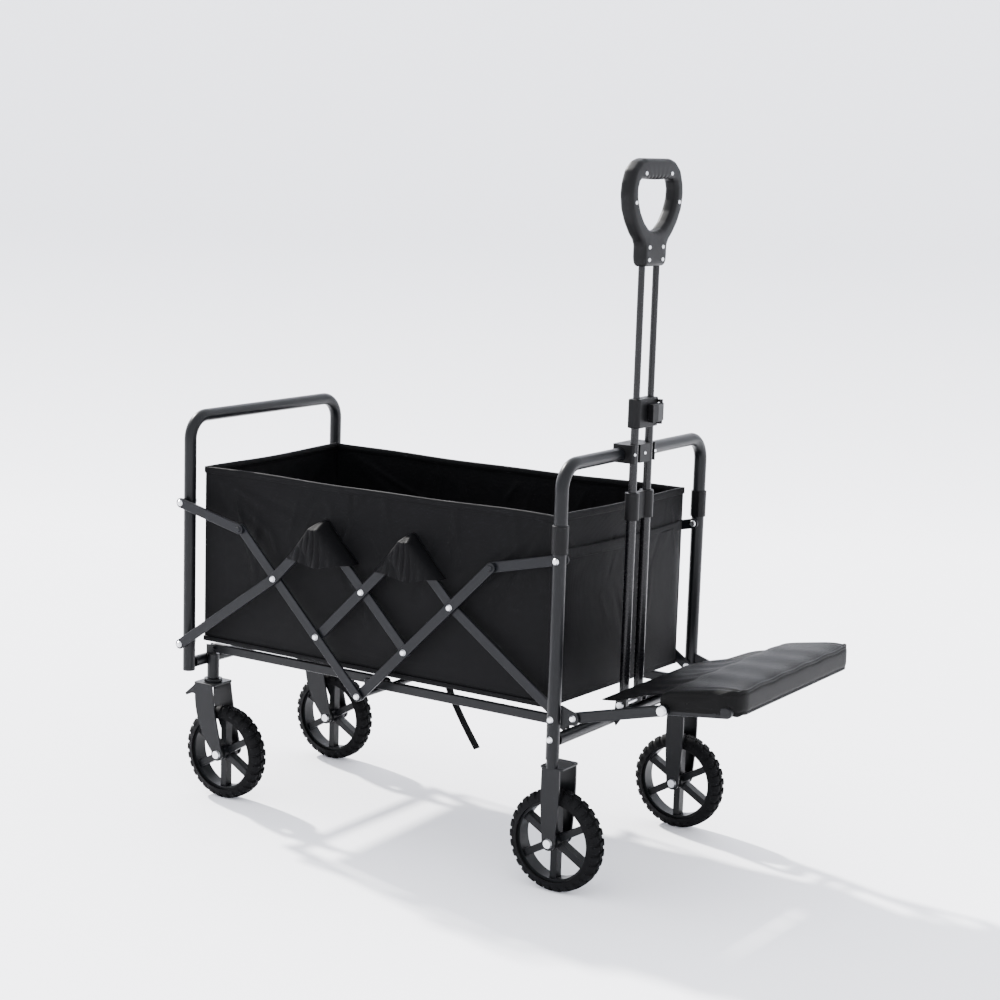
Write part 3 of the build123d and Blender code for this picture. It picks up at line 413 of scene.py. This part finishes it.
# ---- Tyres ----
# Solid rubber tyres with two staggered rows of shoulder blocks and a broken centre rib.
# Profile from bead to bead; block height is added where the tread pattern is raised.
radius, bead_radius, bead_half = 0.093, 0.0728, 0.0145
blocks, block_height = 30, 0.0035
for word in ("front_near", "front_far", "rear_near", "rear_far"):
    low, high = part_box(f"tyre_{word}")
    hub_x, hub_y = (low.x + high.x) / 2, (low.y + high.y) / 2
    half = (high.y - low.y) / 2
    around = np.linspace(0, 2 * np.pi, 540, endpoint=False)
    w = np.linspace(-1, 1, 61)
    side_y = half * np.sign(w) * np.abs(w) ** 0.8
    profile = radius - block_height - 0.0165 * np.abs(w) ** 3.2
    A, W = np.meshgrid(around, w, indexing="ij")
    left = (np.mod(A * blocks / (2 * np.pi) + 0.16 * W, 1) < 0.64) & (W < -0.26) & (W > -0.86)
    right = (np.mod(A * blocks / (2 * np.pi) + 0.5 - 0.16 * W, 1) < 0.64) & (W > 0.26) & (W < 0.86)
    centre = (np.mod(A * blocks / (2 * np.pi) + 0.25 + 0.5 * W, 1) < 0.7) & (np.abs(W) < 0.16)
    raised = np.where(left | right | centre, block_height, 0.0)
    r = profile[None, :] + raised
    y = hub_y + np.broadcast_to(side_y[None, :], A.shape)
    tread = np.stack([hub_x + r * np.sin(A), y, radius + r * np.cos(A)], -1)
    bead_x, bead_z = hub_x + bead_radius * np.sin(around), radius + bead_radius * np.cos(around)
    inner = np.stack([bead_x, 0 * around + hub_y + bead_half, bead_z], -1)
    other = inner.copy()
    other[:, 1] = hub_y - bead_half
    ring = np.concatenate([other[:, None], tread, inner[:, None]], axis=1)
    tyre = surface(f"tread_{word}", ring[:, ::-1], "tyre_rubber", closed_u=True, closed_v=True, smooth=False)
    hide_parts(f"tyre_{word}")
    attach(tyre, ("front_wheel_" if "front" in word else "rear_wheel_") + word.split("_")[1])

# ---- Grip ----
# A moulded ring with soft edges on a flat neck, and finger bumps inside its top bar.
# Cross-sections stand between the inner and outer outline at each angle and are rounded rectangles.
low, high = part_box("handle_grip")
grip_x, grip_y = (low.x + high.x) / 2, (low.y + high.y) / 2
centre_z = high.z - 0.078
outer = np.array(
    [(0.0, high.z), (0.046, high.z), (0.064, high.z - 0.005), (0.082, high.z - 0.019)]
    + [(0.092, high.z - 0.042), (0.0947, high.z - 0.062), (0.090, high.z - 0.088)]
    + [(0.077, high.z - 0.112), (0.060, high.z - 0.132)]
    + [(0.046, high.z - 0.144), (0.0385, high.z - 0.156), (0.038, low.z), (0.0, low.z)]
)
inner = np.array(
    [(0.0, high.z - 0.034), (0.052, high.z - 0.034), (0.062, high.z - 0.040), (0.0675, high.z - 0.054)]
    + [(0.066, high.z - 0.071), (0.056, high.z - 0.092), (0.041, high.z - 0.110), (0.024, high.z - 0.122)]
    + [(0.011, high.z - 0.126), (0.0, high.z - 0.127)]
)


def polar_radius(outline, angles):
    """Distance from the ring's middle to a symmetric outline, by angle: hypot(y, z) at atan2(y, z)."""
    t = np.linspace(0, 1, 500)
    run = np.r_[0, np.cumsum(np.hypot(*np.diff(outline, axis=0).T))]
    y = np.interp(t, run / run[-1], outline[:, 0])
    z = np.interp(t, run / run[-1], outline[:, 1]) - centre_z
    return np.interp(np.abs(angles), np.arctan2(y, z), np.hypot(y, z))


turn = np.linspace(-np.pi, np.pi, 420, endpoint=False)
near_r, far_r = polar_radius(inner, turn), polar_radius(outer, turn)
lateral = near_r * np.sin(turn)
near_r = near_r - np.where(np.abs(turn) < 0.95, 0.0035 * np.cos(lateral * 2 * np.pi / 0.024) ** 2, 0)
kernel = np.ones(7) / 7
near_r = np.convolve(np.r_[near_r[-3:], near_r, near_r[:3]], kernel, "valid")
far_r = np.convolve(np.r_[far_r[-3:], far_r, far_r[:3]], kernel, "valid")
corner = np.minimum(0.0085, (far_r - near_r) * 0.45)
quarter = np.linspace(0, np.pi / 2, 7)
half_r, half_t = (far_r - near_r) / 2, (high.x - low.x) / 2
rings = []
for sign_r, sign_t, start in ((1, 1, 0), (-1, 1, 1), (-1, -1, 2), (1, -1, 3)):
    bend = quarter + start * np.pi / 2
    rings.append(
        np.stack(
            [
                (sign_r * (half_r - corner))[:, None] + corner[:, None] * np.cos(bend)[None, :],
                (sign_t * (half_t - corner))[:, None] + corner[:, None] * np.sin(bend)[None, :],
            ],
            -1,
        )
    )
section = np.concatenate(rings, axis=1)
radial = (near_r + half_r)[:, None] + section[:, :, 0]
points = np.stack(
    [
        grip_x + section[:, :, 1],
        grip_y + radial * np.sin(turn)[:, None],
        centre_z + radial * np.cos(turn)[:, None],
    ],
    -1,
)
grip = surface("grip", points, "moulded_plastic", closed_u=True, closed_v=True)
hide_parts("handle_grip")
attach(grip, "handle_inner")

# ---- Studio ----
# A pale sweep under and behind the wagon: flat floor, a quarter circle, then a wall that casts no shadow.
# A sun from behind and to the left gives the long shadow; two weak area lights lift the near side.
white = finish_material("studio_white", "#f4f4f8", "#f6f6f9", (0.85, 0.95), 40.0, 0.0)
turn = np.linspace(0, np.pi / 2, 32)[1:-1]
floor_end, sweep_radius, sweep_top = 3.0, 3.2, 7.0
wall_run = floor_end + sweep_radius
dense_run = np.concatenate(
    [np.linspace(-14, floor_end, 20), floor_end + sweep_radius * np.sin(turn), np.full(10, wall_run)]
)
dense_rise = np.concatenate(
    [np.zeros(20), sweep_radius * (1 - np.cos(turn)), np.linspace(sweep_radius, sweep_top, 10)]
)
away = np.array([-np.sin(np.radians(32.8)), np.cos(np.radians(32.8))])
right = np.array([away[1], -away[0]])
width = np.linspace(-14, 14, 30)
grid = np.zeros((60, 30, 3))
grid[:, :, :2] = dense_run[:, None, None] * away + width[None, :, None] * right
grid[:, :, 2] = dense_rise[:, None]
mesh = bpy.data.meshes.new("sweep")
index = np.arange(1800).reshape(60, 30)
quads = np.stack([index[:-1, :-1], index[:-1, 1:], index[1:, 1:], index[1:, :-1]], -1).reshape(-1, 4)
mesh.from_pydata(grid.reshape(-1, 3).tolist(), [], quads.tolist())
mesh.polygons.foreach_set("use_smooth", np.ones(len(quads), bool))
sweep = bpy.data.objects.new("sweep", mesh)
bpy.context.collection.objects.link(sweep)
mesh.materials.append(white)
sweep.visible_shadow = False


def lamp(name, kind, energy, place, aim, size, colour="#ffffff"):
    """A light at place pointing at aim."""
    data = bpy.data.lights.new(name, kind)
    data.energy = energy
    data.color = linear(colour)[:3]
    if kind == "AREA":
        data.shape, data.size = "DISK", size
    else:
        data.angle = size
    made = bpy.data.objects.new(name, data)
    bpy.context.collection.objects.link(made)
    made.location = place
    made.rotation_euler = (Vector(aim) - Vector(place)).to_track_quat("-Z", "Y").to_euler()


lamp("key", "SUN", 13.0, (-4.2, 1.3, 3.4), (0, 0, 0.2), 0.05, "#fffdfa")
lamp("fill", "AREA", 26, (2.6, -4.5, 3.4), (0, 0, 0.5), 3.5)
lamp("front_fill", "AREA", 16, (4.6, -0.5, 2.2), (0.3, 0, 0.5), 2.2)
world = bpy.data.worlds.new("studio")
world.use_nodes = True
world.node_tree.nodes["Background"].inputs["Color"].default_value = linear("#eef0f6")
world.node_tree.nodes["Background"].inputs["Strength"].default_value = 3.4
bpy.context.scene.world = world

# ---- Camera ----
# A long lens a little above the wagon's top, turned 32.8 degrees, tilted down 9.6 and rolled 1.8.
lens = bpy.data.cameras.new("camera")
lens.lens, lens.sensor_width = 76.54, 36.0
lens.clip_end = 60
camera = bpy.data.objects.new("camera", lens)
bpy.context.collection.objects.link(camera)
turn_to, tilt, roll = np.radians([32.8, 9.6, 1.8])
view = np.array([-np.sin(turn_to) * np.cos(tilt), np.cos(turn_to) * np.cos(tilt), -np.sin(tilt)])
level = np.array([np.cos(turn_to), np.sin(turn_to), 0.0])
upward = np.cross(level, view)
side_axis = level * np.cos(roll) + upward * np.sin(roll)
up_axis = -level * np.sin(roll) + upward * np.cos(roll)
axes = Matrix(np.stack([side_axis, up_axis, -view], 1).tolist()).to_4x4()
axes.translation = (2.1309, -3.325, 1.3087)
camera.matrix_world = axes
bpy.context.scene.camera = camera
